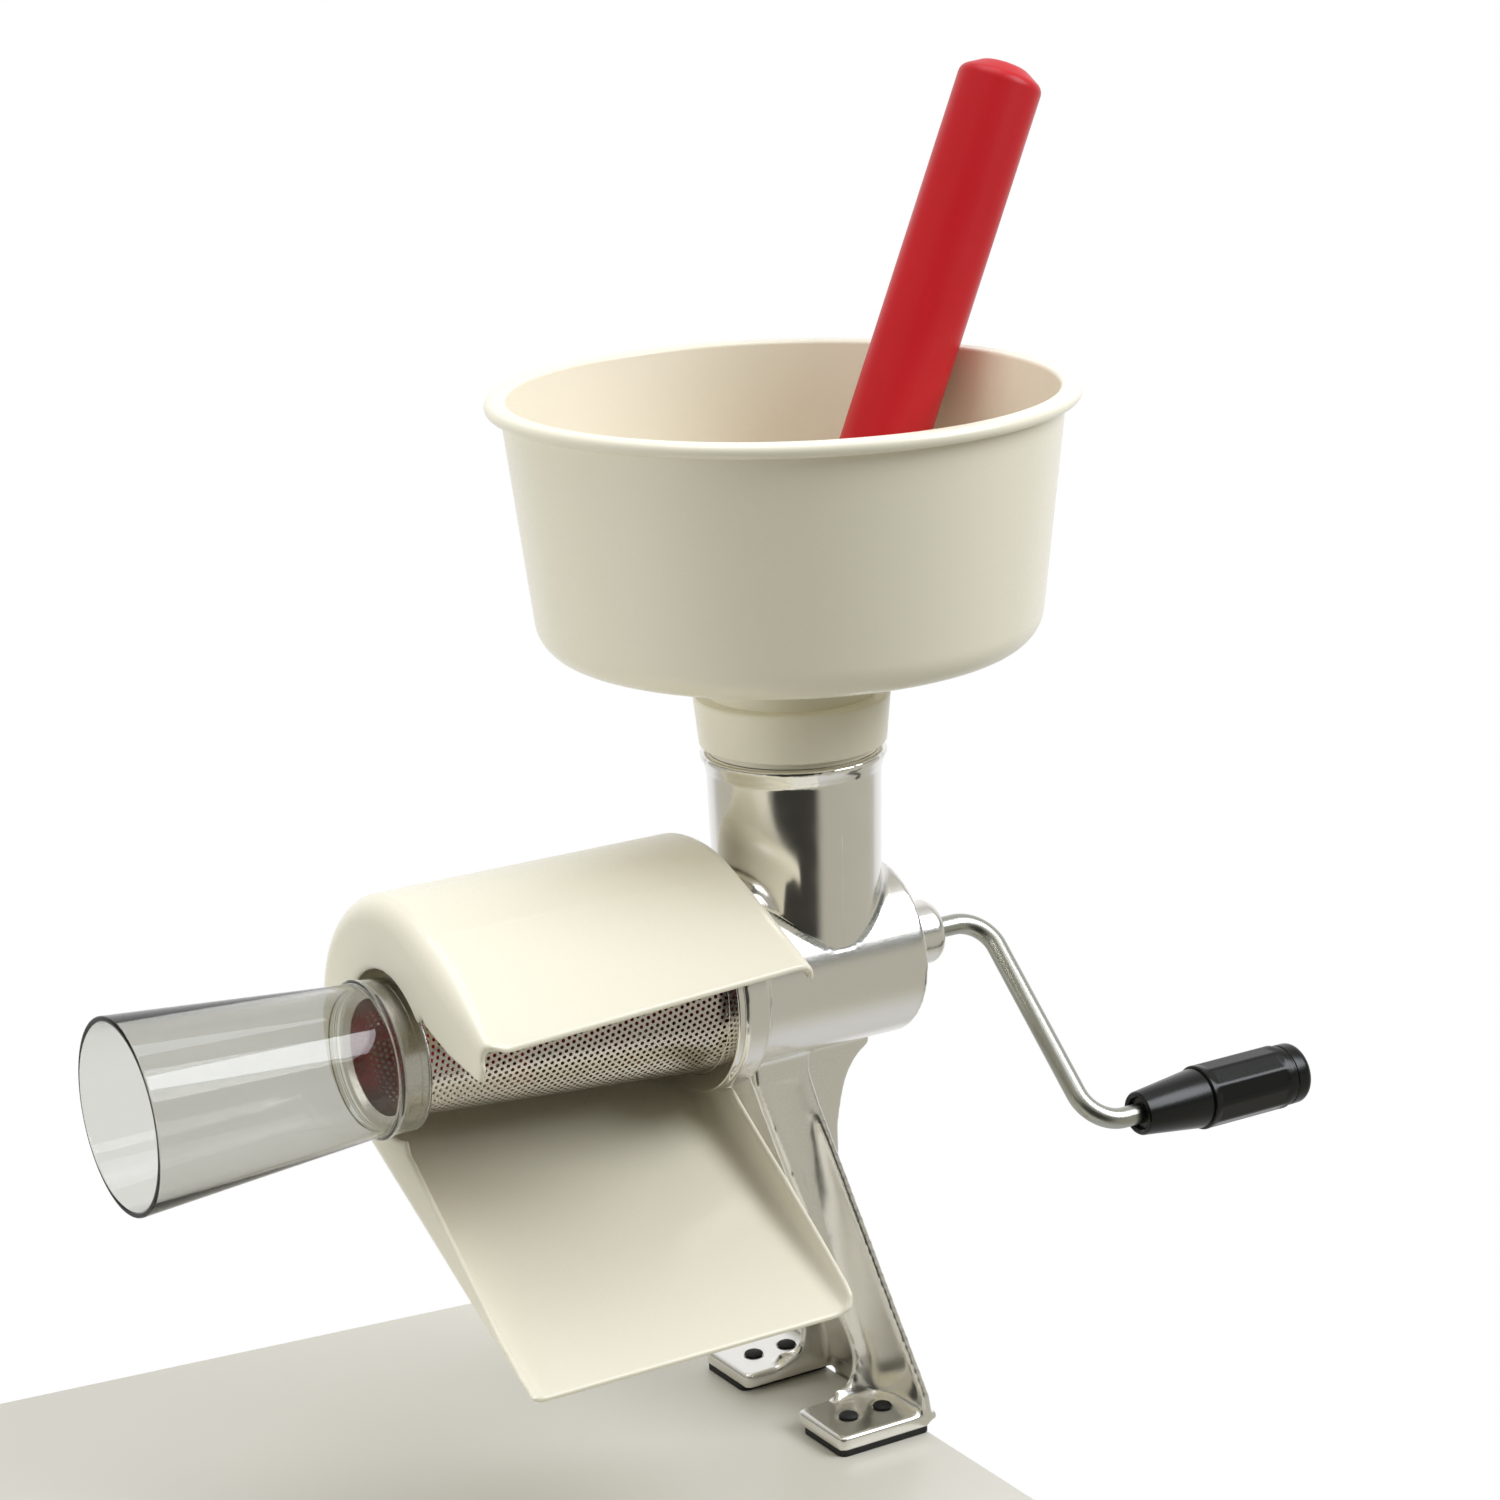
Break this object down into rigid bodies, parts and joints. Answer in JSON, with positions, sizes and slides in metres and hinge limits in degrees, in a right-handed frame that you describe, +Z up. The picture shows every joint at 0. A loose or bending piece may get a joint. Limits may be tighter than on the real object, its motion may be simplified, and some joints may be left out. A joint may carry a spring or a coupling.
{
  "type": "food mill",
  "caption": "Hand-cranked food mill: bowl, neck and barrel on a table clamp stand, with a feed screw, perforated tube, hood and tray, clear end guard and plunger.",
  "frame": {"origin": "on the table top, under the axis of the bowl and neck", "axes": "+X along the barrel towards the crank, +Y across towards the hood's back, +Z up along the bowl's axis"},
  "size_m": [0.4475, 0.2118, 0.6312],
  "materials": {
    "cast_aluminium": "polished cast aluminium",
    "rubber": "moulded black rubber",
    "bearing_plastic": "turned acetal",
    "seal_rubber": "moulded seal rubber",
    "shaft_steel": "turned steel",
    "red_plastic": "moulded red plastic",
    "cream_plastic": "moulded cream plastic",
    "screen_steel": "perforated stainless sheet",
    "clear_plastic": "clear moulded plastic",
    "chromed_rod": "bent and chromed steel rod",
    "black_plastic": "moulded satin black plastic",
    "clamp_steel": "zinc plated steel"
  },
  "bodies": {
    "stand": {"body_casting": "cast_aluminium", "foot_pad_near": "rubber", "foot_pad_far": "rubber", "drive_bushing": "bearing_plastic", "shaft_seal": "seal_rubber", "thrust_washer": "bearing_plastic", "seat_ring": "cast_aluminium"},
    "crank": {"crank_rod": "chromed_rod", "grip_washer": "shaft_steel", "drive_shaft": "shaft_steel", "auger": "red_plastic"},
    "grip": {"crank_grip": "black_plastic", "grip_cap": "black_plastic"},
    "bowl": {"hopper_bowl": "cream_plastic", "hopper_collar": "cream_plastic"},
    "plunger": {"plunger": "red_plastic"},
    "screen": {"screen_tube": "screen_steel", "screen_rear_band": "screen_steel", "screen_front_band": "screen_steel"},
    "chute": {"chute": "cream_plastic"},
    "guard": {"squirt_guard": "clear_plastic"},
    "clamp_pad": {"clamp_pad": "clamp_steel"},
    "clamp_screw": {"clamp_screw": "clamp_steel", "clamp_bar": "clamp_steel", "clamp_bar_caps": "rubber"}
  },
  "joints": [
    {"name": "crank_turn", "type": "hinge", "parent": "stand", "child": "crank", "pos_m": [0, 0, 0.1772], "axis": [1, 0, 0], "continuous": true},
    {"name": "grip_spin", "type": "hinge", "parent": "crank", "child": "grip", "pos_m": [0.13, -0.07011, 0.11496], "axis": [1, 0, 0], "continuous": true},
    {"name": "bowl_lift", "type": "slide", "parent": "stand", "child": "bowl", "axis": [0, 0, 1], "range_m": [0, 0.04]},
    {"name": "plunger_lift", "type": "slide", "parent": "bowl", "child": "plunger", "axis": [0.3949, 0, 0.9187], "range_m": [0, 0.11]},
    {"name": "screen_pull", "type": "slide", "parent": "stand", "child": "screen", "axis": [-1, 0, 0], "range_m": [0, 0.02]},
    {"name": "chute_pull", "type": "slide", "parent": "screen", "child": "chute", "axis": [-1, 0, 0], "range_m": [0, 0.14]},
    {"name": "guard_pull", "type": "slide", "parent": "chute", "child": "guard", "axis": [-1, 0, 0], "range_m": [0, 0.03]},
    {"name": "clamp_travel", "type": "slide", "parent": "stand", "child": "clamp_pad", "axis": [0, 0, 1], "range_m": [-0.0225, 0.0235]},
    {"name": "clamp_turn", "type": "hinge", "parent": "clamp_pad", "child": "clamp_screw", "pos_m": [-0.002, 0, -0.08], "axis": [0, 0, 1], "range_deg": [-2640, 2760]}
  ],
  "couplings": [
    {"joint": "clamp_travel", "follows": "clamp_turn", "m_per_rad": 0.00047746}
  ]
}
